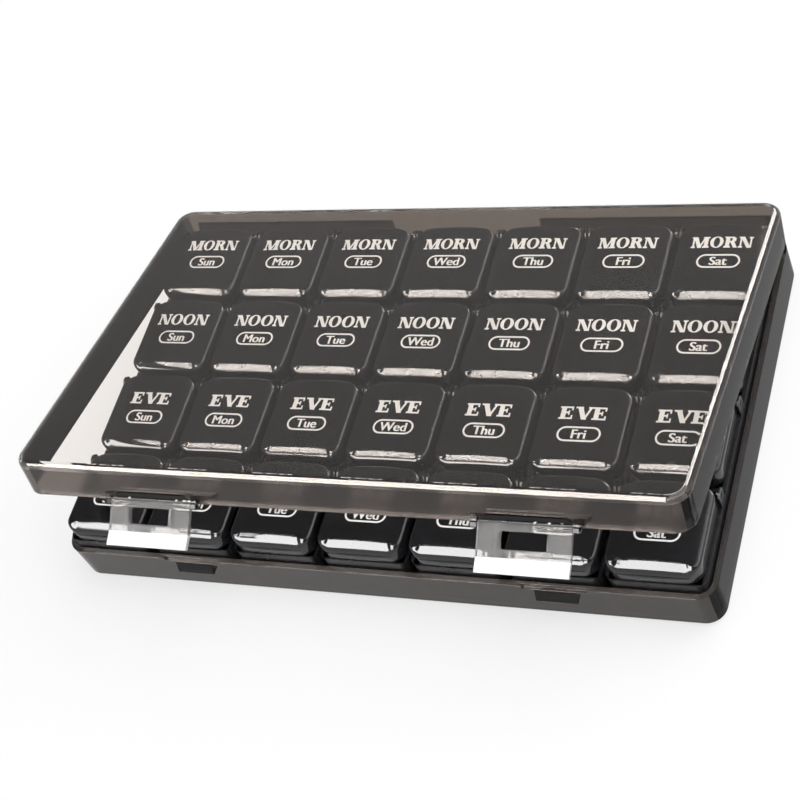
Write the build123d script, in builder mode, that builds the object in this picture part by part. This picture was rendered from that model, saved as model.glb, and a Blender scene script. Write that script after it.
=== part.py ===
from build123d import *
import os
from math import atan2, cos, degrees, radians, sin

# Weekly pill organizer: seven daily boxes with four flip lids each, in a clear case with a hinged cover.
# Lengths are in millimetres and angles in degrees. X runs across the days, Y from the latches
# to the case hinge and Z up. The origin is the middle of the case's underside.

# Days from left to right, doses from the hinge side to the latch side
days = ["sunday", "monday", "tuesday", "wednesday", "thursday", "friday", "saturday"]
doses = ["morning", "noon", "evening", "bedtime"]

# Daily box
box_width = 29.4
box_length = 124.8
box_height = 16.7
box_wall = 1.2
box_floor = 1.2
box_corner_radius = 3.0
box_gap = 0.6
box_play = 0.45

# Compartment lid
lid_height = 6.4
lid_side_inset = 0.8
lid_row_gap = 0.6
lid_seat_gap = 0.3
lid_shell = 1.2
lid_corner_radius = 4.2
lid_roll_radius = 2.4
lid_front_roll_radius = 4.4
lid_roll_angle = 45.0
lid_cavity_chamfer = 2.2
lid_back_chamfer = 2.6
lid_heel_radius = 3.2
lid_heel_chamfer = 2.2

# Round corners that repeat on every box and lid are drawn with a few flats
corner_flats = 3
quarter_turn = 90.0

# Lid pivot: stub pins on the lid, sockets in ears of the box's side walls, drawn with few sides
pivot_radius = 0.8
pivot_clearance = 0.06
pivot_end_gap = 0.1
pivot_sides = 6
ear_length = 4.0
ear_rise = 2.0
ear_corner = 1.2
ear_root = 1.0
ear_gap = 0.1

# Case
case_wall = 1.8
case_floor = 1.5
case_corner_radius = 6.0
case_bottom_radius = 1.6
base_height = 14.8
rim_gap = 0.2
cover_height = 12.8
cover_plate = 1.5
cover_edge_radius = 2.2
cover_ajar = 12.9

# Case hinge: two groups of knuckles, with stub pins on the cover's knuckles
hinge_offset = 2.05
hinge_end_margin = 4.45
hinge_middle_gap = 53.0
hinge_side_gap = 0.25
knuckle_radius = 1.85
cover_knuckle_length = 14.0
hinge_pin_radius = 1.0
hinge_pin_length = 6.0
hinge_pin_clearance = 0.06
hinge_pin_end_gap = 0.3
hinge_pad_start = 2.3
hinge_pad_height = 4.0
hinge_pad_thickness = 1.0

# Latch: a flap with a window, on stub pins between two lugs of the cover
latch_place_share = 0.2805
latch_width = 27.8
latch_thickness = 1.4
latch_axis_out = 1.25
latch_axis_up = 0.5
latch_barrel_radius = 1.0
latch_plate_length = 8.9
latch_lip_length = 4.6
latch_lip_flare = 12.0
latch_swing = 47.0
window_width = 14.0
window_height = 5.0
window_top = 1.6
frame_margin = 1.5
frame_proud = 0.5
lug_gap = 0.2
lug_thickness = 1.8
lug_radius = 1.1
lug_height = 3.4
latch_pin_radius = 0.5
latch_pin_length = 1.4
latch_pin_clearance = 0.05
latch_notch_top = 23.0
latch_notch_height = 3.6

# Catch on the base's front wall, inside the window of a closed latch
catch_side_gap = 0.6
catch_end_gap = 0.4
catch_depth = 1.5
catch_land = 0.6
rim_notch_width = 20.0
rim_notch_depth = 0.9

# Worked out from the sizes above
day_pitch = box_width + box_gap
row_pitch = box_length / len(doses)
inner_width = len(days) * day_pitch - box_gap + 2 * box_play
inner_depth = box_length + 2 * box_play
case_width = inner_width + 2 * case_wall
case_depth = inner_depth + 2 * case_wall
inner_corner_radius = case_corner_radius - case_wall
front_face = -case_depth / 2
back_face = case_depth / 2
box_rim = case_floor + box_height
lid_bottom = box_rim + lid_seat_gap
lid_width = box_width - 2 * lid_side_inset
lid_length = row_pitch - lid_row_gap
pivot_height = lid_bottom + lid_height - lid_heel_radius
ear_thickness = lid_side_inset - ear_gap
hinge_y = back_face + hinge_offset
hinge_z = base_height + rim_gap / 2
hinge_length = (case_width - hinge_middle_gap) / 2 - hinge_end_margin
hinge_centre = (hinge_middle_gap + hinge_length) / 2
latch_centre = latch_place_share * case_width
window_bottom = window_top + window_height
latch_axis_z = base_height + rim_gap + latch_axis_up
catch_top = latch_axis_z - window_top - catch_end_gap
catch_bottom = latch_axis_z - window_bottom + catch_end_gap
catch_width = window_width - 2 * catch_side_gap


def shifted(frame, x, y, z):
    """The frame, moved along its own axes."""
    return Plane(frame.from_local_coords((x, y, z)), frame.x_dir, frame.z_dir)


def side_plane(frame, x):
    """The frame's YZ plane at x along its own X axis."""
    return Plane(frame.from_local_coords((x, 0, 0)), frame.y_dir, frame.x_dir)


def front_plane(frame, y):
    """The frame's XZ plane at y along its own Y axis, seen from the front."""
    return Plane(frame.from_local_coords((0, y, 0)), frame.x_dir, -frame.y_dir)


def corner(x, y, radius, start):
    """Points of a quarter turn about (x, y), from the start angle."""
    turns = [radians(start + quarter_turn * n / corner_flats) for n in range(corner_flats + 1)]
    return [(x + radius * cos(turn), y + radius * sin(turn)) for turn in turns]


def pivot_socket(radius):
    """A socket that lets a pin of this radius turn, cut from the sketch around it."""
    RegularPolygon(radius, pivot_sides, major_radius=False, mode=Mode.SUBTRACT)


def write(builder, name):
    builder.part.label = name
    export_step(builder.part, f"parts/{name}.step")


def day_x(day):
    return (day - (len(days) - 1) / 2) * day_pitch


def lid_back(dose):
    """Y of a lid's back edge."""
    return box_length / 2 - dose * row_pitch - lid_row_gap / 2


def pivot_y(dose):
    return lid_back(dose) - lid_heel_radius


# Frames of the pieces that stand open in the rest pose
base_frame = Plane.XY
hinge_frame = Plane(origin=(0, hinge_y, hinge_z)).rotated((-cover_ajar, 0, 0))
cover_frame = shifted(hinge_frame, 0, -hinge_y, rim_gap / 2)


def latch_frame(x):
    """Frame on a latch's pivot axis, with the flap hanging along its -Z."""
    closed = shifted(cover_frame, x, front_face - latch_axis_out, latch_axis_up)
    return closed.rotated((-latch_swing, 0, 0))


def case_shell(frame, height, edge_radius, closed_end, closed_thickness, open_end):
    """One tray of the case on its frame, rounded at its closed end and hollowed from its open end."""
    with BuildSketch(frame) as outside:
        RectangleRounded(case_width, case_depth, case_corner_radius)
    tray = extrude(outside.sketch, amount=height)
    up = Axis(frame.origin, frame.z_dir)
    fillet(tray.faces().sort_by(up)[closed_end].edges(), edge_radius)
    with BuildSketch(frame.offset(open_end)) as inside:
        RectangleRounded(inner_width, inner_depth, inner_corner_radius)
    toward_plate = 1 if closed_end else -1
    depth = toward_plate * (height - closed_thickness)
    extrude(inside.sketch, amount=depth, mode=Mode.SUBTRACT)


def knuckle(frame, x, length, axis_z, sense):
    """A hinge barrel on the back wall, with a gusset above (sense 1) or below (sense -1) its axis."""
    with BuildSketch(side_plane(frame, x - length / 2)) as profile:
        with Locations((hinge_y, axis_z)):
            Circle(knuckle_radius)
        with BuildLine():
            Polyline(
                (back_face - case_wall / 2, axis_z + sense * rim_gap / 2),
                (hinge_y, axis_z + sense * rim_gap / 2),
                (hinge_y, axis_z + sense * knuckle_radius),
                (back_face - case_wall / 2, axis_z + sense * (knuckle_radius + hinge_offset)),
                close=True,
            )
        make_face()
    extrude(profile.sketch, amount=length)


def on_hinge_axis(frame, x, axis_z, radius, length, mode=Mode.ADD):
    """A round pin, or its bore, along the hinge axis from x."""
    with BuildSketch(side_plane(frame, x)) as section:
        with Locations((hinge_y, axis_z)):
            Circle(radius)
    extrude(section.sketch, amount=length, mode=mode)


os.makedirs("parts", exist_ok=True)

# Base of the case: tray, catches for the latches and the long middle knuckles of the hinge
base_knuckle_length = hinge_length - 2 * (cover_knuckle_length + hinge_side_gap)
with BuildPart() as case_base:
    case_shell(base_frame, base_height, case_bottom_radius, 0, case_floor, base_height)
    for side in (-1, 1):
        with BuildSketch(side_plane(base_frame, side * latch_centre - catch_width / 2)):
            with BuildLine():
                Polyline(
                    (front_face + case_wall / 2, catch_top),
                    (front_face, catch_top),
                    (front_face - catch_depth, catch_bottom + catch_land),
                    (front_face - catch_depth, catch_bottom),
                    (front_face + case_wall / 2, catch_bottom),
                    close=True,
                )
            make_face()
        extrude(amount=catch_width)
        with Locations((side * latch_centre, front_face, base_height)):
            Box(rim_notch_width, 2 * rim_notch_depth, 2 * (base_height - catch_top), mode=Mode.SUBTRACT)
        start = side * hinge_centre - base_knuckle_length / 2
        knuckle(base_frame, side * hinge_centre, base_knuckle_length, hinge_z, -1)
        bore_radius = hinge_pin_radius + hinge_pin_clearance
        bore_length = hinge_pin_length - hinge_side_gap + hinge_pin_end_gap
        on_hinge_axis(base_frame, start, hinge_z, bore_radius, bore_length, Mode.SUBTRACT)
        far_bore = start + base_knuckle_length - bore_length
        on_hinge_axis(base_frame, far_bore, hinge_z, bore_radius, bore_length, Mode.SUBTRACT)
write(case_base, "case_base")

# Cover of the case, standing ajar on the hinge: shell, hinge ends with their pins, lugs of the latches
cover_hinge_z = -rim_gap / 2
with BuildPart() as case_cover:
    case_shell(cover_frame, cover_height, cover_edge_radius, -1, cover_plate, 0)
    for side in (-1, 1):
        with BuildSketch(front_plane(cover_frame, front_face + case_wall)):
            with BuildLine():
                bottom = latch_width / 2 + lug_gap
                top = latch_notch_top / 2
                middle = side * latch_centre
                Polyline(
                    (middle - bottom, 0),
                    (middle + bottom, 0),
                    (middle + top, latch_notch_height),
                    (middle - top, latch_notch_height),
                    close=True,
                )
            make_face()
        extrude(amount=case_wall, mode=Mode.SUBTRACT)
        for end in (-1, 1):
            lug_middle = side * latch_centre + end * (latch_width / 2 + lug_gap + lug_thickness / 2)
            with BuildSketch(side_plane(cover_frame, lug_middle - lug_thickness / 2)):
                with Locations((front_face - latch_axis_out, latch_axis_up)):
                    RegularPolygon(lug_radius, pivot_sides, major_radius=False)
                with BuildLine():
                    Polyline(
                        (front_face + case_wall / 2, 0),
                        (front_face, 0),
                        (front_face - latch_axis_out, latch_axis_up - lug_radius),
                        (front_face - latch_axis_out, latch_axis_up + lug_radius),
                        (front_face, lug_height),
                        (front_face + case_wall / 2, lug_height),
                        close=True,
                    )
                make_face()
                with Locations((front_face - latch_axis_out, latch_axis_up)):
                    pivot_socket(latch_pin_radius + latch_pin_clearance)
            extrude(amount=lug_thickness)
            knuckle_middle = side * hinge_centre + end * (hinge_length - cover_knuckle_length) / 2
            knuckle(cover_frame, knuckle_middle, cover_knuckle_length, cover_hinge_z, 1)
            inner_end = knuckle_middle - end * cover_knuckle_length / 2
            pin_start = inner_end if end < 0 else inner_end - hinge_pin_length
            on_hinge_axis(cover_frame, pin_start, cover_hinge_z, hinge_pin_radius, hinge_pin_length)
        with BuildSketch(side_plane(cover_frame, side * hinge_centre - hinge_length / 2)):
            with Locations((back_face, hinge_pad_start)):
                Rectangle(hinge_pad_thickness, hinge_pad_height, align=(Align.MIN, Align.MIN))
        extrude(amount=hinge_length)
write(case_cover, "case_cover")


def make_latch(name, x):
    frame = latch_frame(x)
    half = latch_thickness / 2
    lip_out = latch_lip_length * sin(radians(latch_lip_flare))
    lip_down = latch_lip_length * cos(radians(latch_lip_flare))
    with BuildPart() as latch:
        with BuildSketch(side_plane(frame, -latch_width / 2)):
            Circle(latch_barrel_radius)
            with BuildLine():
                Polyline(
                    (half, 0),
                    (half, -latch_plate_length),
                    (half - lip_out, -latch_plate_length - lip_down),
                    (-half - lip_out, -latch_plate_length - lip_down),
                    (-half, -latch_plate_length),
                    (-half, 0),
                    close=True,
                )
            make_face()
        extrude(amount=latch_width)
        with BuildSketch(front_plane(frame, -half)):
            with Locations((0, -(window_top + window_bottom) / 2)):
                Rectangle(window_width + 2 * frame_margin, window_height + 2 * frame_margin)
        extrude(amount=frame_proud)
        with BuildSketch(front_plane(frame, half)):
            with Locations((0, -(window_top + window_bottom) / 2)):
                Rectangle(window_width, window_height)
        extrude(amount=latch_thickness + frame_proud, mode=Mode.SUBTRACT)
        with BuildSketch(side_plane(frame, -latch_width / 2 - latch_pin_length)):
            RegularPolygon(latch_pin_radius, pivot_sides)
        extrude(amount=latch_width + 2 * latch_pin_length)
    write(latch, name)


def make_box(name, x):
    with BuildPart() as box:
        with BuildSketch(Plane((x, 0, case_floor))):
            Rectangle(box_width, box_length)
        extrude(amount=box_height)
        with BuildSketch(Plane((x, 0, case_floor + box_floor))):
            with GridLocations(0, row_pitch, 1, len(doses)):
                Rectangle(box_width - 2 * box_wall, row_pitch - box_wall)
        extrude(amount=box_height, mode=Mode.SUBTRACT)
        ear_bottom = box_rim - ear_root
        ear_height = pivot_height + ear_rise - ear_bottom
        for side in (-1, 1):
            with BuildSketch(Plane.YZ.offset(x + side * box_width / 2)) as ears:
                for dose in range(len(doses)):
                    with Locations((pivot_y(dose), ear_bottom)):
                        Rectangle(ear_length, ear_height, align=(Align.CENTER, Align.MIN))
                chamfer(ears.vertices().group_by(Axis.Y)[-1], ear_corner)
                for dose in range(len(doses)):
                    with Locations((pivot_y(dose), pivot_height)):
                        pivot_socket(pivot_radius + pivot_clearance)
            extrude(amount=-side * ear_thickness)
        with BuildSketch(Plane((x, 0, case_floor))):
            with BuildLine():
                across = box_width / 2 - box_corner_radius
                along = box_length / 2 - box_corner_radius
                Polyline(
                    *corner(across, along, box_corner_radius, 0),
                    *corner(-across, along, box_corner_radius, quarter_turn),
                    *corner(-across, -along, box_corner_radius, 2 * quarter_turn),
                    *corner(across, -along, box_corner_radius, 3 * quarter_turn),
                    close=True,
                )
            make_face()
        extrude(amount=box_height + ear_height, mode=Mode.INTERSECT)
    write(box, name)


def make_lid(name, x, dose):
    back = lid_back(dose)
    rise = lid_roll_radius * sin(radians(lid_roll_angle))
    inset = lid_roll_radius * (1 - cos(radians(lid_roll_angle)))
    with BuildPart() as lid:
        with BuildSketch(Plane((x, back, lid_bottom))):
            with BuildLine():
                across = lid_width / 2 - lid_corner_radius
                along = lid_length - lid_corner_radius
                Polyline(
                    *corner(-across, -along, lid_corner_radius, 2 * quarter_turn),
                    *corner(across, -along, lid_corner_radius, 3 * quarter_turn),
                    (lid_width / 2, -lid_back_chamfer),
                    (lid_width / 2 - lid_back_chamfer, 0),
                    (lid_back_chamfer - lid_width / 2, 0),
                    (-lid_width / 2, -lid_back_chamfer),
                    close=True,
                )
            make_face()
        extrude(amount=lid_height - lid_roll_radius)
        lower_taper = degrees(atan2(inset, rise))
        extrude(lid.faces().sort_by(Axis.Z)[-1], amount=rise, taper=lower_taper)
        upper_taper = degrees(atan2(lid_roll_radius - inset, lid_roll_radius - rise))
        extrude(lid.faces().sort_by(Axis.Z)[-1], amount=lid_roll_radius - rise, taper=upper_taper)
        heel = lid.faces().sort_by(Axis.Z)[0].edges().filter_by(Axis.X).sort_by(Axis.Y)[-1]
        chamfer(heel, lid_heel_chamfer)
        front = back - lid_length
        roll_start = lid_bottom + lid_height - lid_front_roll_radius
        with BuildSketch(Plane.YZ.offset(x - lid_width / 2)):
            with BuildLine():
                Polyline(
                    (front, roll_start),
                    (front + lid_front_roll_radius * (1 - cos(radians(lid_roll_angle))),
                     roll_start + lid_front_roll_radius * sin(radians(lid_roll_angle))),
                    (front + lid_front_roll_radius, lid_bottom + lid_height),
                    (front, lid_bottom + lid_height),
                    close=True,
                )
            make_face()
        extrude(amount=lid_width, mode=Mode.SUBTRACT)
        cavity_front = front + lid_shell
        cavity_length = lid_length - 2 * lid_heel_radius - lid_shell
        with BuildSketch(Plane((x, cavity_front, lid_bottom))) as cavity:
            Rectangle(lid_width - 2 * lid_shell, cavity_length, align=(Align.CENTER, Align.MIN))
            chamfer(cavity.vertices().group_by(Axis.Y)[0], lid_corner_radius - lid_shell)
        hollow = extrude(amount=lid_height - lid_shell, mode=Mode.PRIVATE)
        upper_edges = hollow.faces().sort_by(Axis.Z)[-1].edges()
        add(hollow.chamfer(lid_cavity_chamfer, None, [upper_edges.sort_by(Axis.Y)[0]]), mode=Mode.SUBTRACT)
        for side in (-1, 1):
            with BuildSketch(Plane.YZ.offset(x + side * lid_width / 2)):
                with Locations((pivot_y(dose), pivot_height)):
                    RegularPolygon(pivot_radius, pivot_sides)
            extrude(amount=side * (lid_side_inset - pivot_end_gap))
    write(lid, name)


make_latch("latch_left", -latch_centre)
make_latch("latch_right", latch_centre)
for number, day in enumerate(days):
    make_box(f"{day}_box", day_x(number))
    for row, dose_name in enumerate(doses):
        make_lid(f"{day}_{dose_name}_lid", day_x(number), row)
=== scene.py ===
import math

import bmesh
import bpy
from mathutils import Matrix, Vector


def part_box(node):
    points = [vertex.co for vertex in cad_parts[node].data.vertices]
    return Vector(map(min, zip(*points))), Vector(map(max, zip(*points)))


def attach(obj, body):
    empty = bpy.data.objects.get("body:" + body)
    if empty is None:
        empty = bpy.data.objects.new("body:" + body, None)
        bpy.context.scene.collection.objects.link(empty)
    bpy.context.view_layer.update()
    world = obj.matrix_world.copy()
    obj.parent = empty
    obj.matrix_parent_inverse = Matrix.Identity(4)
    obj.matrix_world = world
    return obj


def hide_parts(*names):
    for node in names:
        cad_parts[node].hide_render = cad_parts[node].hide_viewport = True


MM = 0.001
DAYS = ["sunday", "monday", "tuesday", "wednesday", "thursday", "friday", "saturday"]
DOSES = {"morning": "MORN", "noon": "NOON", "evening": "EVE", "bedtime": "BED"}

# The case as it stands when the cover is shut, in metres; the cover's angle is in degrees.
COVER_AJAR = 12.9
HINGE = Vector((0, 66.7, 14.9)) * MM
PLATE_FROM = 25.55 * MM
HOLLOW = Vector((105.3, 63.0)) * MM
SIDE_FROM = 105.0 * MM
CASE_FRONT, CASE_WALL, COVER_RIM = -64.65 * MM, 1.8 * MM, 15.0 * MM
OUTSIDE_MARGIN = 0.1 * MM
NOTCH_FOOT, NOTCH_TOP, NOTCH_HEIGHT = 14.1 * MM, 11.5 * MM, 3.6 * MM
RECESS_WALL, LIP_LENGTH = 0.6 * MM, 4.3 * MM
CASE_EDGE, LATCH_EDGE, BOX_EDGE = 0.22 * MM, 0.18 * MM, 0.25 * MM

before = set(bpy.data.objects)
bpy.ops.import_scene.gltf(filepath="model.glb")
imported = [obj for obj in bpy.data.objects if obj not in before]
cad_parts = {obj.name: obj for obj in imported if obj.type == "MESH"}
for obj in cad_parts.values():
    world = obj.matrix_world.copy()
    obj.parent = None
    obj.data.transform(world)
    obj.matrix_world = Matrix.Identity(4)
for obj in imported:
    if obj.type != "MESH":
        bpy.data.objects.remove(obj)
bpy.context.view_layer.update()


# Materials. The MIX values are a Mix node's sockets for colours, and noise scales are per metre.

MIX_FACTOR, MIX_DARK, MIX_LIGHT, MIX_RESULT = 0, 6, 7, 2
BLACK_GRAIN, BLACK_GLOSS, BLACK_SINK, BLACK_SINK_DEPTH = 240, 60, 90, 0.006 * MM
CLEAR_CLOUD, CLEAR_GLOSS, CLEAR_WAVE, CLEAR_WAVE_DEPTH = 30, 45, 35, 0.004 * MM
INK_GRAIN, INK_ROUGH = 900, 0.45
CLOUDED = 0.985


def nodes_of(name):
    """A new material, its node tree and its Principled shader."""
    material = bpy.data.materials.new(name)
    material.use_nodes = True
    tree = material.node_tree
    shader = tree.nodes["Principled BSDF"]
    return material, tree, shader


def noise(tree, scale, detail=3.0):
    """Noise that is fixed to the object."""
    place = tree.nodes.new("ShaderNodeTexCoord")
    texture = tree.nodes.new("ShaderNodeTexNoise")
    texture.inputs["Scale"].default_value = scale
    texture.inputs["Detail"].default_value = detail
    tree.links.new(place.outputs["Object"], texture.inputs["Vector"])
    return texture.outputs["Fac"]


def ramp(tree, factor, low, high):
    """A number that runs from low to high with the factor."""
    scale = tree.nodes.new("ShaderNodeMapRange")
    scale.inputs["To Min"].default_value = low
    scale.inputs["To Max"].default_value = high
    tree.links.new(factor, scale.inputs["Value"])
    return scale.outputs["Result"]


def smooth_ramp(tree, factor, start, end, low, high):
    """A number that runs from low to high, gently, while the factor goes from start to end."""
    scale = tree.nodes.new("ShaderNodeMapRange")
    scale.interpolation_type = "SMOOTHSTEP"
    scale.inputs["From Min"].default_value = start
    scale.inputs["From Max"].default_value = end
    scale.inputs["To Min"].default_value = low
    scale.inputs["To Max"].default_value = high
    tree.links.new(factor, scale.inputs["Value"])
    return scale.outputs["Result"]


def tint(tree, factor, dark, light):
    """A colour that runs from dark to light with the factor."""
    mix = tree.nodes.new("ShaderNodeMix")
    mix.data_type = "RGBA"
    mix.inputs[MIX_DARK].default_value = (*dark, 1)
    mix.inputs[MIX_LIGHT].default_value = (*light, 1)
    tree.links.new(factor, mix.inputs[MIX_FACTOR])
    return mix.outputs[MIX_RESULT]


def ripple(tree, shader, scale, height):
    """Faint waves on the surface."""
    bump = tree.nodes.new("ShaderNodeBump")
    bump.inputs["Strength"].default_value = 1.0
    bump.inputs["Distance"].default_value = height
    tree.links.new(noise(tree, scale, 1.0), bump.inputs["Height"])
    tree.links.new(bump.outputs["Normal"], shader.inputs["Normal"])


def black_plastic(name, dark, light, rough_low, rough_high, shine=0.5):
    """Moulded glossy black, with faint uneven gloss and sink marks."""
    material, tree, shader = nodes_of(name)
    shade = tint(tree, noise(tree, BLACK_GRAIN), dark, light)
    tree.links.new(shade, shader.inputs["Base Color"])
    gloss = ramp(tree, noise(tree, BLACK_GLOSS), rough_low, rough_high)
    tree.links.new(gloss, shader.inputs["Roughness"])
    shader.inputs["IOR"].default_value = 1.5
    shader.inputs["Specular IOR Level"].default_value = shine
    ripple(tree, shader, BLACK_SINK, BLACK_SINK_DEPTH)
    return material


def clear_plastic(name, through, rough_low, rough_high, clear=1.0, shine=(1, 1, 1), bend=1.5):
    """See-through plastic.

    A wall lets through that share of each colour. Milky plastic has clear below 1. The refraction index
    is bend, and a low one reflects less.
    """
    material, tree, shader = nodes_of(name)
    shade = tint(tree, noise(tree, CLEAR_CLOUD), [c * CLOUDED for c in through], through)
    tree.links.new(shade, shader.inputs["Base Color"])
    gloss = ramp(tree, noise(tree, CLEAR_GLOSS), rough_low, rough_high)
    tree.links.new(gloss, shader.inputs["Roughness"])
    shader.inputs["Transmission Weight"].default_value = clear
    shader.inputs["IOR"].default_value = bend
    shader.inputs["Specular Tint"].default_value = (*shine, 1)
    ripple(tree, shader, CLEAR_WAVE, CLEAR_WAVE_DEPTH)
    return material


def white_ink(name):
    """Opaque print."""
    material, tree, shader = nodes_of(name)
    shade = tint(tree, noise(tree, INK_GRAIN), (0.91, 0.91, 0.90), (0.96, 0.96, 0.95))
    tree.links.new(shade, shader.inputs["Base Color"])
    shader.inputs["Roughness"].default_value = INK_ROUGH
    return material


LID = black_plastic("black_lid", (0.010, 0.010, 0.012), (0.016, 0.016, 0.018), 0.07, 0.13)
BOX = black_plastic("black_box", (0.008, 0.008, 0.009), (0.014, 0.014, 0.016), 0.22, 0.32, shine=0.25)
RIM = clear_plastic("smoke_rim", (0.955, 0.915, 0.880), 0.0, 0.03, shine=(1.0, 0.90, 0.84))
PLATE = clear_plastic("smoke_plate", (0.955, 0.915, 0.880), 0.0, 0.03, clear=0.985, bend=1.2)
WALL = clear_plastic("smoke_wall", (0.140, 0.115, 0.100), 0.0, 0.04, shine=(1.0, 0.92, 0.88), bend=1.45)
# The base's outside is a darker copy of the smoke wall tint: painted shade.
SHADED_FOOT = clear_plastic("smoke_foot_painted_shade", (0.055, 0.043, 0.037), 0.0, 0.04, shine=(1.0, 0.90, 0.84), bend=1.45)
LINING = clear_plastic("smoke_lining", (0.140, 0.115, 0.100), 0.20, 0.28)
# The side walls are a near-black copy of the smoke plastic that also reflects less: painted shade.
SHADED_SIDE = clear_plastic("smoke_side_painted_shade", (0.012, 0.0115, 0.011), 0.0, 0.04, bend=1.1)
# Near black: partly the absorption of thick plastic, partly painted shade over the hinge, the catches and
# the latch notches.
DENSE_AND_SHADE = clear_plastic("smoke_dense_and_shade", (0.003, 0.0025, 0.0025), 0.02, 0.06, bend=1.3)
LATCH = clear_plastic("clear_latch", (0.84, 0.82, 0.80), 0.0, 0.03, clear=0.90, bend=1.15)
# The thumb lip's milky white is a painted highlight, standing in for the light it mirrors.
LIP_HIGHLIGHT = clear_plastic("lip_painted_highlight", (0.93, 0.93, 0.93), 0.40, 0.55, clear=0.10)
INK = white_ink("white_ink")


# Case, latches and boxes: the solids' own meshes with rounded edges.

WELD, FLAT_ANGLE, SMOOTH_ANGLE, LEVEL_FACING = 1e-6, 0.5, 35.0, 0.99


def add_object(name, mesh, material, body, stands_for=()):
    """A piece that rides a body, in place of the named CAD nodes."""
    mesh.materials.clear()
    mesh.materials.append(material)
    piece = bpy.data.objects.new(name, mesh)
    bpy.context.scene.collection.objects.link(piece)
    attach(piece, body)
    if stands_for:
        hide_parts(*stands_for)
    return piece


def finished(work, name):
    """The mesh of a bmesh, which is freed."""
    mesh = bpy.data.meshes.new(name)
    work.to_mesh(mesh)
    work.free()
    return mesh


def smooth(mesh, angle=SMOOTH_ANGLE):
    """Shades the mesh round, but for edges sharper than the angle."""
    for polygon in mesh.polygons:
        polygon.use_smooth = True
    mesh.set_sharp_from_angle(angle=math.radians(angle))


def softened(node, width, segments=2, sharpest=40.0):
    """The CAD node's mesh with its moulded edges slightly rounded."""
    work = bmesh.new()
    work.from_mesh(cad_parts[node].data)
    bmesh.ops.remove_doubles(work, verts=work.verts, dist=WELD)
    bmesh.ops.dissolve_limit(
        work, angle_limit=math.radians(FLAT_ANGLE), verts=work.verts, edges=work.edges)
    least = math.radians(sharpest)
    edges = [e for e in work.edges if len(e.link_faces) == 2 and e.calc_face_angle() > least]
    bmesh.ops.bevel(work, geom=edges, offset=width, segments=segments, profile=0.5, affect="EDGES",
                    clamp_overlap=True, loop_slide=True)
    mesh = finished(work, node + "_soft")
    smooth(mesh)
    return mesh


def flat_shaded(piece):
    """Keeps broad faces flat and lets only their rounded edges shade round."""
    weighted = piece.modifiers.new("weighted", "WEIGHTED_NORMAL")
    weighted.weight = 100
    weighted.keep_sharp = True


def shell_material(point, facing, wall, plate_from):
    """Which of a shell's materials covers a point of the shut case that faces that way."""
    if point.z > plate_from:
        return PLATE if abs(facing.z) > LEVEL_FACING else RIM
    # Hinge and catches take the near-black tint, partly thick plastic and partly painted shade.
    if abs(point.y) > -CASE_FRONT + OUTSIDE_MARGIN:
        return DENSE_AND_SHADE
    # The side walls take painted shade.
    if abs(point.x) > SIDE_FROM:
        return SHADED_SIDE
    inside = abs(point.x) < HOLLOW.x and abs(point.y) < HOLLOW.y
    return LINING if inside else wall


def add_shell(node, body, wall, closing, plate_from):
    """A half of the case: polished outside, satin inside, with painted shade on its side walls, and hinge
    and catches in a near-black tint that is partly thick plastic and partly painted shade.

    The matrix closing brings its points to the shut case, where what lies above plate_from is clear.
    """
    mesh = softened(node, CASE_EDGE)
    flat_shaded(add_object(node + "_shell", mesh, wall, body, [node]))
    finishes = [wall, LINING, SHADED_SIDE, DENSE_AND_SHADE, PLATE, RIM]
    for finish in finishes[1:]:
        mesh.materials.append(finish)
    for polygon in mesh.polygons:
        point, facing = closing @ polygon.center, closing.to_3x3() @ polygon.normal
        finish = shell_material(point, facing, wall, plate_from)
        polygon.material_index = finishes.index(finish)


def add_recess(name, middle, opening):
    """The thin near-black wall that closes the notch behind a latch: a sheet of painted shade in the
    notch.
    """
    outer = CASE_FRONT + CASE_WALL - RECESS_WALL
    foot, top = COVER_RIM, COVER_RIM + NOTCH_HEIGHT
    corners = [(-NOTCH_FOOT, foot), (NOTCH_FOOT, foot), (NOTCH_TOP, top), (-NOTCH_TOP, top)]
    work = bmesh.new()
    front, back = [[work.verts.new(opening @ Vector((middle + x, y, z))) for x, z in corners]
                   for y in (outer, outer + RECESS_WALL)]
    work.faces.new(front)
    work.faces.new(reversed(back))
    for n in range(len(corners)):
        work.faces.new((front[n - 1], back[n - 1], back[n], front[n]))
    bmesh.ops.recalc_face_normals(work, faces=work.faces)
    add_object(name, finished(work, name), DENSE_AND_SHADE, "cover")


def add_latch(node):
    """A clear flap whose thumb lip is painted white, a painted highlight; returns where its middle is."""
    low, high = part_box(node)
    mesh = softened(node, LATCH_EDGE, sharpest=10.0)
    flat_shaded(add_object(node + "_flap", mesh, LATCH, node, [node]))
    mesh.materials.append(LIP_HIGHLIGHT)
    for polygon in mesh.polygons:
        # The thumb lip takes the painted highlight.
        polygon.material_index = int(polygon.center.y < low.y + LIP_LENGTH)
    return (low.x + high.x) / 2


def add_boxes():
    """The seven trays, which share one mesh."""
    low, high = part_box("sunday_box")
    mesh = softened("sunday_box", BOX_EDGE)
    mesh.transform(Matrix.Translation((-(low.x + high.x) / 2, 0, 0)))
    for day in DAYS:
        low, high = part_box(day + "_box")
        box = add_object(day + "_tray", mesh, BOX, "case", [day + "_box"])
        box.location.x = (low.x + high.x) / 2
        flat_shaded(box)


swing = Matrix.Rotation(math.radians(COVER_AJAR), 4, "X")
to_shut = Matrix.Translation(HINGE) @ swing @ Matrix.Translation(-HINGE)
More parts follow.
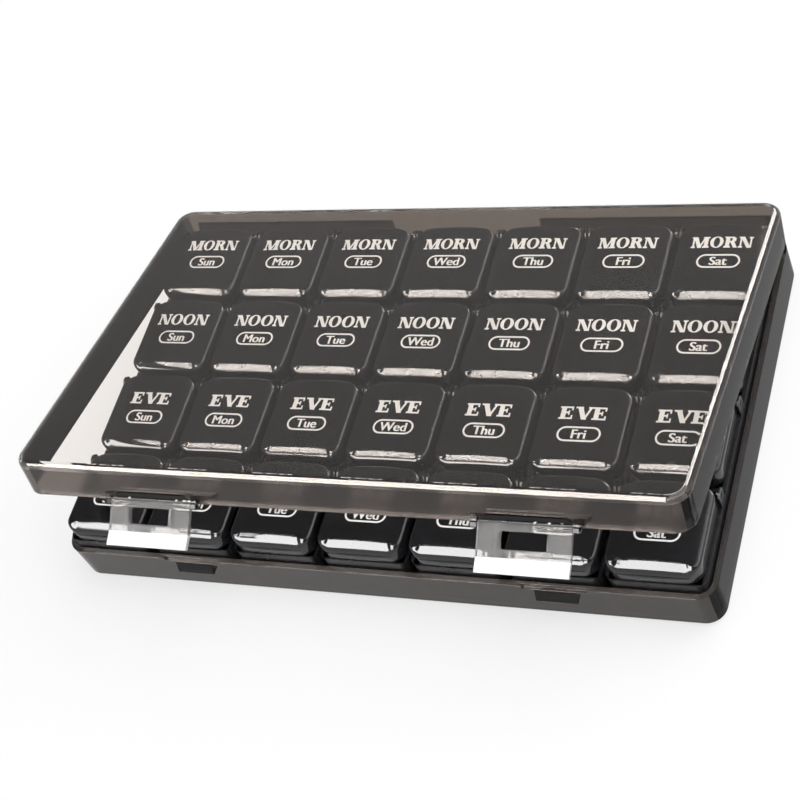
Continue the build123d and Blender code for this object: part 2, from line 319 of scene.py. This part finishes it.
# The base's outside takes the darker tint, which is painted shade.
add_shell("case_base", "case", SHADED_FOOT, Matrix(), math.inf)
add_shell("case_cover", "cover", WALL, to_shut, PLATE_FROM)
for side in ("left", "right"):
    middle = add_latch("latch_" + side)
    add_recess(f"latch_{side}_recess", middle, to_shut.inverted())
add_boxes()


# Lids: shallow caps with rolled edges, an arched back edge and a faint crown, in millimetres.
# A lid's own origin is the middle of its back edge, at its foot. The hollow's profile gives insets and
# heights from its ceiling down, the side's and top's shares go up the wall and inwards on the crown.

LID_WIDTH, LID_LENGTH, LID_HEIGHT = 27.8, 30.6, 6.4
LID_ROLL, LID_FRONT_ROLL, LID_SHELL, LID_HEEL = 1.0, 4.4, 1.2, 3.2
FRONT_CORNER, BACK_CORNER, LEAST_CORNER = 4.4, 5.0, 0.5
BACK_GAP, BACK_ARCH, FRONT_ARCH, CROWN = 1.5, 0.7, 0.2, 0.35
BACK_REACH, FRONT_REACH, CROWN_FROM, CROWN_RISE = 9.0, 12.0, 2.0, 4.0
ROLL_REACH, ROLL_DROP, ROLL_SPAN = 5.0, 0.25, 0.72
PIN_RADIUS, PIN_LENGTH, PIN_ROOT, PIN_SIDES = 0.78, 0.7, 0.6, 20
CORNER_STEPS, ROLL_STEPS, LID_SMOOTH = 10, 16, 50.0
HOLLOW_PROFILE = ((2.0, 5.2), (1.5, 5.05), (LID_SHELL, 4.6), (LID_SHELL, 0.2), (1.05, 0.0))
FOOT_INSET = 0.15
SIDE_TOP = LID_HEIGHT - 0.6 * LID_FRONT_ROLL
SIDE_SHARES = (0.03, 0.1, 0.2, 0.35, 0.55, 0.8)
TOP_SHARES = (0.85, 0.65, 0.45, 0.25, 0.1)


def outline(inset, back=0.0, steps=CORNER_STEPS):
    """Plan of the lid, inset from its rim; its back edge at -back."""
    half, front, rear = LID_WIDTH / 2 - inset, -LID_LENGTH + inset, -back - inset
    fore = max(FRONT_CORNER - inset, LEAST_CORNER)
    aft = max(BACK_CORNER - inset, LEAST_CORNER)
    corners = [(half - fore, front + fore, fore, -90), (half - aft, rear - aft, aft, 0),
               (aft - half, rear - aft, aft, 90), (fore - half, front + fore, fore, 180)]
    points = []
    for x, y, radius, start in corners:
        for n in range(steps + 1):
            turn = math.radians(start + 90 * n / steps)
            points.append((x + radius * math.cos(turn), y + radius * math.sin(turn)))
    filled = []
    for n, (x, y) in enumerate(points):
        filled.append((x, y))
        if n % (steps + 1) == steps:
            x2, y2 = points[(n + 1) % len(points)]
            filled += [(x + (x2 - x) * k / steps, y + (y2 - y) * k / steps) for k in range(1, steps)]
    return filled


def eased(value):
    """A smooth step from 0 to 1."""
    value = min(max(value, 0.0), 1.0)
    return value * value * (3 - 2 * value)


def shaped(x, y, z):
    """A point of the plain lid with the arches, crown and round heel of the real one."""
    across = (x / (LID_WIDTH / 2)) ** 2
    y -= (BACK_GAP + BACK_ARCH * across) * eased((y + BACK_REACH) / BACK_REACH)
    y += FRONT_ARCH * across * eased((-y - LID_LENGTH + FRONT_REACH) / FRONT_REACH)
    z -= CROWN * across * eased((z - CROWN_FROM) / CROWN_RISE)
    if z < LID_HEEL:
        limit = -LID_HEEL + math.sqrt(max(LID_HEEL ** 2 - (LID_HEEL - z) ** 2, 0.0))
        y = min(y, limit)
    return x, y, z


def roll_radius(x, y):
    """Radius of the rolled top edge, largest in the middle of the front."""
    forward = eased((-y - LID_LENGTH + ROLL_REACH) / ROLL_REACH)
    across = abs(x) / (LID_WIDTH / 2)
    corner = eased((across - ROLL_SPAN) / (1 - ROLL_SPAN))
    fall = (1 - ROLL_DROP * across ** 2) * (1 - corner)
    return LID_ROLL + (LID_FRONT_ROLL - LID_ROLL) * forward * fall


def lid_rings():
    """Loops of points from the hollow's ceiling, round the foot and over the roll, to the crown."""
    rings = []
    for inset, z in HOLLOW_PROFILE:
        rings.append([(x, y, z) for x, y in outline(inset, 2 * LID_HEEL - LID_SHELL)])
    rings.append([(x, y, 0.0) for x, y in outline(FOOT_INSET)])
    rim = outline(0.0)
    for share in SIDE_SHARES:
        rings.append([(x, y, share * SIDE_TOP) for x, y in rim])
    rolls = [roll_radius(x, y) for x, y in rim]
    normals = [(n[0] - p[0], n[1] - p[1]) for n, p in zip(outline(-1.0), rim)]
    for n in range(ROLL_STEPS + 1):
        turn = math.radians(90 * n / ROLL_STEPS)
        inward, down = 1 - math.cos(turn), 1 - math.sin(turn)
        rings.append([(x - nx * roll * inward, y - ny * roll * inward, LID_HEIGHT - roll * down)
                      for (x, y), (nx, ny), roll in zip(rim, normals, rolls)])
    brow, middle = rings[-1], -LID_LENGTH / 2
    for share in TOP_SHARES:
        rings.append([(x * share, middle + (y - middle) * share, LID_HEIGHT) for x, y, _ in brow])
    return rings


def add_pins(work):
    """The stub pins that the lid turns on."""
    reach = LID_WIDTH / 2 + PIN_LENGTH / 2 - PIN_ROOT / 2
    for side in (-1, 1):
        place = Matrix.Translation(Vector((side * reach, -LID_HEEL, LID_HEEL)) * MM)
        bmesh.ops.create_cone(
            work, cap_ends=True, segments=PIN_SIDES, radius1=PIN_RADIUS * MM, radius2=PIN_RADIUS * MM,
            depth=(PIN_LENGTH + PIN_ROOT) * MM, matrix=place @ Matrix.Rotation(math.pi / 2, 4, "Y"))


def lid_mesh():
    """The cap that all 28 lids share."""
    work = bmesh.new()
    made = [[work.verts.new(Vector(shaped(*p)) * MM) for p in ring] for ring in lid_rings()]
    for lower, upper in zip(made, made[1:]):
        for n in range(len(lower)):
            m = (n + 1) % len(lower)
            work.faces.new((lower[n], lower[m], upper[m], upper[n]))
    work.faces.new(list(reversed(made[0])))
    top = work.verts.new(Vector((0, -LID_LENGTH / 2, LID_HEIGHT)) * MM)
    last = made[-1]
    for n in range(len(last)):
        work.faces.new((last[n], last[(n + 1) % len(last)], top))
    add_pins(work)
    bmesh.ops.recalc_face_normals(work, faces=work.faces)
    mesh = finished(work, "lid")
    smooth(mesh, LID_SMOOTH)
    return mesh


# Print: the dose above an outlined day, as flat faces. Capitals are drawn one unit high.

THICK, THIN, SERIF, MARGIN, BOWL_FLAT = 0.31, 0.13, 0.10, 0.10, 0.45
INK_RISE, INK_WELD, DAY_SIZE, DAY_BOLD = 0.04, 1e-7, 4.5, 0.14
TITLE_HEIGHT, TITLE_BEHIND = 4.5, 7.4
PILL_WIDTH, PILL_HEIGHT, PILL_LINE, PILL_STEPS = 13.6, 5.3, 0.6, 14
PILL_BACK = {"morning": 16.4, "noon": 17.4, "evening": 18.6, "bedtime": 18.6}
TITLE_WIDTH = {"morning": 19.2, "noon": 19.2, "evening": 15.2, "bedtime": 14.6}


def strip(outer, inner, closed=True):
    """Flat faces between two rows of points."""
    count = len(outer)
    return [(outer[n], outer[(n + 1) % count], inner[(n + 1) % count], inner[n])
            for n in range(count if closed else count - 1)]


def arc(x, y, across, up, start, end, steps=24):
    """Points of an ellipse between two angles."""
    turns = [math.radians(start + (end - start) * n / steps) for n in range(steps + 1)]
    return [(x + across * math.cos(t), y + up * math.sin(t)) for t in turns]


def bar(x1, y1, x2, y2):
    """An upright rectangle."""
    return [((x1, y1), (x2, y1), (x2, y2), (x1, y2))]


def stem(x, width, ends=(0, 1)):
    """An upright with a slab serif at its foot and head."""
    faces = bar(x, 0, x + width, 1)
    for end in ends:
        y = (1 - THIN) * end
        faces += bar(x - SERIF, y, x + width + SERIF, y + THIN)
    return faces


def slant(x1, x2, width, y1=0.0, y2=1.0):
    """A leaning stroke from x1 at its foot to x2 at its head."""
    return [((x1, y1), (x1 + width, y1), (x2 + width, y2), (x2, y2))]


def bowl(x, low, high, reach, thick):
    """The round side of a letter, from an upright at x."""
    y, up = (low + high) / 2, (high - low) / 2
    flat = reach * BOWL_FLAT
    outside = arc(x + flat, y, reach - flat, up, -90, 90)
    inside = arc(x + flat, y, reach - flat - thick, up - THIN, -90, 90)
    outer = [(x, low)] + outside + [(x, high)]
    inner = [(x, low + THIN)] + inside + [(x, high - THIN)]
    return strip(outer, inner, closed=False)


def letter(sign):
    """(faces, advance) of a capital."""
    if sign == "M":
        faces = stem(MARGIN, THIN) + slant(0.52, 0.12, THICK)
        return faces + slant(0.60, 0.98, THIN * 1.1) + stem(0.98, THICK), 1.42
    if sign == "N":
        return stem(MARGIN, THIN) + slant(0.66, 0.10, THICK) + stem(0.86, THIN, (1,)), 1.10
    if sign == "O":
        outer = arc(0.53, 0.5, 0.51, 0.52, 0, 345, 23)
        inner = arc(0.53, 0.5, 0.23, 0.43, 0, 345, 23)
        return strip(outer, inner), 1.10
    if sign == "R":
        faces = stem(MARGIN, THICK) + bowl(0.30, 0.46, 1.0, 0.60, THICK)
        return faces + slant(0.74, 0.46, THICK, 0.0, 0.5), 1.10
    if sign == "E":
        faces = stem(MARGIN, THICK, ())
        faces += bar(0, 0, 0.86, THIN) + bar(0, 1 - THIN, 0.84, 1) + bar(0.3, 0.46, 0.62, 0.46 + THIN)
        faces += bar(0.76, 0, 0.86, 0.32) + bar(0.74, 0.70, 0.84, 1) + bar(0.56, 0.34, 0.64, 0.68)
        return faces, 0.98
    if sign == "V":
        faces = slant(0.46, 0.10, THICK * 1.05) + slant(0.56, 0.92, THIN * 1.1)
        return faces + bar(0, 1 - THIN, 0.48, 1) + bar(0.80, 1 - THIN, 1.14, 1), 1.10
    if sign == "B":
        faces = stem(MARGIN, THICK) + bowl(0.30, 0.50, 1.0, 0.54, THICK * 0.9)
        return faces + bowl(0.30, 0.0, 0.56, 0.62, THICK), 1.04
    return stem(MARGIN, THICK) + bowl(0.30, 0.0, 1.0, 0.76, THICK), 1.16


def title_faces(word, width, height, y):
    """A dose in capitals, spread over the width, with its middle at y."""
    signs = [letter(sign) for sign in word]
    wide = sum(advance for _, advance in signs)
    stretch, x, faces = width / wide, -width / 2, []
    for glyph, advance in signs:
        faces += [[(x + px * stretch, y + (py - 0.5) * height) for px, py in face] for face in glyph]
        x += advance * stretch
    return faces


def pill_faces(width, height, line, y):
    """The outline round a day, with round ends."""
    def track(inset):
        radius, half = height / 2 - inset, (width - height) / 2
        right = arc(half, y, radius, radius, -90, 90, PILL_STEPS)
        return right + arc(-half, y, radius, radius, 90, 270, PILL_STEPS)
    return strip(track(0), track(line))


def day_faces(word, y):
    """A day in Blender's own font, made bolder by copies to either side."""
    curve = bpy.data.curves.new("day_text", "FONT")
    curve.body = word
    curve.size = DAY_SIZE
    curve.align_x = curve.align_y = "CENTER"
    text = bpy.data.objects.new("day_text", curve)
    bpy.context.scene.collection.objects.link(text)
    bpy.context.view_layer.update()
    mesh = bpy.data.meshes.new_from_object(text.evaluated_get(bpy.context.evaluated_depsgraph_get()))
    points = [v.co for v in mesh.vertices]
    left, right = min(p.x for p in points), max(p.x for p in points)
    low, high = min(p.y for p in points), max(p.y for p in points)
    faces = [[(points[i].x - (left + right) / 2 + bold, y + points[i].y - (low + high) / 2)
              for i in p.vertices] for p in mesh.polygons for bold in (-DAY_BOLD, 0, DAY_BOLD)]
    bpy.data.objects.remove(text)
    bpy.data.meshes.remove(mesh)
    return faces


def print_mesh(day, dose):
    """The print of one lid, laid on its crown."""
    pill = -PILL_BACK[dose]
    faces = title_faces(DOSES[dose], TITLE_WIDTH[dose], TITLE_HEIGHT, pill + TITLE_BEHIND)
    faces += pill_faces(PILL_WIDTH, PILL_HEIGHT, PILL_LINE, pill)
    faces += day_faces(day[:3].capitalize(), pill)
    work = bmesh.new()
    for face in faces:
        corners = []
        for x, y in face:
            px, py, pz = shaped(x, y, LID_HEIGHT)
            corners.append(work.verts.new(Vector((px, py, pz + INK_RISE)) * MM))
        work.faces.new(corners)
    bmesh.ops.remove_doubles(work, verts=work.verts, dist=INK_WELD)
    for face in work.faces:
        face.normal_update()
        if face.normal.z < 0:
            face.normal_flip()
    return finished(work, f"print_{day}_{dose}")


shared_lid = lid_mesh()
for day in DAYS:
    for dose in DOSES:
        node = f"{day}_{dose}_lid"
        low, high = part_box(node)
        place = Vector(((low.x + high.x) / 2, high.y, low.z))
        lid = add_object(f"{day}_{dose}_cap", shared_lid, LID, node, [node])
        lid.location = place
        ink = add_object(f"{day}_{dose}_print", print_mesh(day, dose), INK, node)
        ink.location = place


# Floor, light and camera, in metres, degrees and watts.

FLOOR_SIZE, FLOOR_DROP = 12, 0.1 * MM
PAPER_WHITE, PAPER_GLOW, PAPER_CLOUD, PAPER_ROUGH = (0.82, 0.82, 0.82), 0.7, 8, 0.9
KEY_SIZE, KEY_PLACE, KEY_TILT, KEY_GLOW = (2.0, 4.2), (-1.48, -1.95, 2.37), 32, 20.0
REAR_SIZE, REAR_PLACE, REAR_TILT, REAR_GLOW = (0.96, 0.66), (0.48, 1.3, 0.68), 90, 14.0
CARD_FADES_FROM = 0.42
LAMP_SIZE, LAMP_POWER, LAMP_PLACE, LAMP_TURN = 2.0, 38, (0.75, 0.45, 1.5), (-15, 26, 0)
DOME_FROM, DOME_TO, DOME_LOW, DOME_TOP, DOME_FILL = 0.10, 0.60, 1.0, 0.12, 0.55
CAMERA_PLACE, CAMERA_TURN = (0.241, -0.2976, 0.4527), (37.275, 19.438, 16.296)
SENSOR, LENS, NEAR, FAR = 36.0, 82.95, 0.01, 50.0
BOUNCES, CLEAR_BOUNCES, GLOSS_BOUNCES = 24, 20, 8


def math_node(tree, operation, first, second):
    """The result of an operation on two numbers or sockets."""
    node = tree.nodes.new("ShaderNodeMath")
    node.operation = operation
    for socket, value in zip(node.inputs, (first, second)):
        if isinstance(value, (int, float)):
            socket.default_value = value
        else:
            tree.links.new(value, socket)
    return node.outputs["Value"]


def chosen(tree, factor, without, value):
    """value where the factor is 1 or more, and without where it is 0."""
    share = math_node(tree, "MINIMUM", factor, 1.0)
    rest = math_node(tree, "SUBTRACT", 1.0, share)
    with_it = math_node(tree, "MULTIPLY", share, value)
    without_it = math_node(tree, "MULTIPLY", rest, without)
    return math_node(tree, "ADD", with_it, without_it)


def axis(tree, space, name):
    """One coordinate of a point in that space."""
    place = tree.nodes.new("ShaderNodeTexCoord")
    parts = tree.nodes.new("ShaderNodeSeparateXYZ")
    tree.links.new(place.outputs[space], parts.inputs["Vector"])
    return parts.outputs[name]


def paper(name, colour, glow):
    """White paper, which shows that share of plain white to the camera, mirrors and glass."""
    material, tree, shader = nodes_of(name)
    shade = tint(tree, noise(tree, PAPER_CLOUD), [c * CLOUDED for c in colour], colour)
    tree.links.new(shade, shader.inputs["Base Color"])
    shader.inputs["Roughness"].default_value = PAPER_ROUGH
    shader.inputs["Specular IOR Level"].default_value = 0.0
    path = tree.nodes.new("ShaderNodeLightPath").outputs
    seen = math_node(tree, "ADD", path["Is Camera Ray"], path["Is Glossy Ray"])
    seen = math_node(tree, "ADD", seen, path["Is Transmission Ray"])
    white = tree.nodes.new("ShaderNodeEmission")
    mix = tree.nodes.new("ShaderNodeMixShader")
    tree.links.new(chosen(tree, seen, 0.0, glow), mix.inputs[0])
    tree.links.new(shader.outputs["BSDF"], mix.inputs[1])
    tree.links.new(white.outputs["Emission"], mix.inputs[2])
    tree.links.new(mix.outputs["Shader"], tree.nodes["Material Output"].inputs["Surface"])
    material.cycles.emission_sampling = "NONE"
    return material


def lit_card(name, strength, width):
    """A bright card with fading ends, which only shows as a reflection and lights nothing."""
    material, tree, shader = nodes_of(name)
    tree.nodes.remove(shader)
    glow = tree.nodes.new("ShaderNodeEmission")
    path = tree.nodes.new("ShaderNodeLightPath").outputs
    aside = math_node(tree, "ABSOLUTE", axis(tree, "Object", "X"), 0.0)
    fading = smooth_ramp(tree, aside, CARD_FADES_FROM * width, width / 2, strength, 0.0)
    tree.links.new(chosen(tree, path["Diffuse Depth"], fading, 0.0), glow.inputs["Strength"])
    tree.links.new(glow.outputs["Emission"], tree.nodes["Material Output"].inputs["Surface"])
    material.cycles.emission_sampling = "NONE"
    return material


def sheet(name, width, height, material, place, tilt=0):
    """A flat piece of the studio, tilted about X."""
    mesh = bpy.data.meshes.new(name)
    x, y = width / 2, height / 2
    mesh.from_pydata([(-x, -y, 0), (x, -y, 0), (x, y, 0), (-x, y, 0)], [], [(0, 1, 2, 3)])
    mesh.materials.append(material)
    piece = bpy.data.objects.new(name, mesh)
    piece.location = place
    piece.rotation_euler.x = math.radians(tilt)
    bpy.context.scene.collection.objects.link(piece)
    return piece


def add_card(name, size, place, tilt, strength):
    """A reflector that is seen only in glossy and clear surfaces."""
    card = sheet(name, *size, lit_card(name, strength, size[0]), place, tilt)
    card.visible_camera = card.visible_diffuse = card.visible_shadow = False


def add_lamp():
    """The soft lamp from above."""
    light = bpy.data.lights.new("top", "AREA")
    light.shape = "SQUARE"
    light.size = LAMP_SIZE
    light.energy = LAMP_POWER
    lamp = bpy.data.objects.new("top", light)
    lamp.location = LAMP_PLACE
    lamp.rotation_euler = [math.radians(turn) for turn in LAMP_TURN]
    bpy.context.scene.collection.objects.link(lamp)


def add_world():
    """White to the camera, a dome that darkens upwards to mirrors, and an even fill to all else."""
    world = bpy.data.worlds.new("studio")
    bpy.context.scene.world = world
    world.use_nodes = True
    world.cycles.sampling_method = "NONE"
    tree = world.node_tree
    path = tree.nodes.new("ShaderNodeLightPath").outputs
    height = axis(tree, "Generated", "Z")
    dome = smooth_ramp(tree, height, DOME_FROM, DOME_TO, DOME_LOW, DOME_TOP)
    mirrored = chosen(tree, path["Glossy Depth"], 1.0, dome)
    background = tree.nodes["Background"]
    tree.links.new(chosen(tree, path["Diffuse Depth"], mirrored, DOME_FILL), background.inputs["Strength"])
    background.inputs["Color"].default_value = (1, 1, 1, 1)


def add_camera():
    """The photograph's view."""
    camera = bpy.data.cameras.new("camera")
    camera.sensor_width = SENSOR
    camera.lens = LENS
    camera.clip_start = NEAR
    camera.clip_end = FAR
    eye = bpy.data.objects.new("camera", camera)
    eye.location = CAMERA_PLACE
    eye.rotation_euler = [math.radians(turn) for turn in CAMERA_TURN]
    bpy.context.scene.collection.objects.link(eye)
    return eye


sheet("floor", FLOOR_SIZE, FLOOR_SIZE, paper("paper", PAPER_WHITE, PAPER_GLOW), (0, 0, -FLOOR_DROP))
add_card("key_card", KEY_SIZE, KEY_PLACE, KEY_TILT, KEY_GLOW)
add_card("rear_card", REAR_SIZE, REAR_PLACE, REAR_TILT, REAR_GLOW)
add_lamp()
add_world()

scene = bpy.context.scene
scene.camera = add_camera()
scene.view_settings.view_transform = "Standard"
scene.cycles.max_bounces = BOUNCES
scene.cycles.transmission_bounces = CLEAR_BOUNCES
scene.cycles.glossy_bounces = GLOSS_BOUNCES
scene.cycles.use_denoising = True
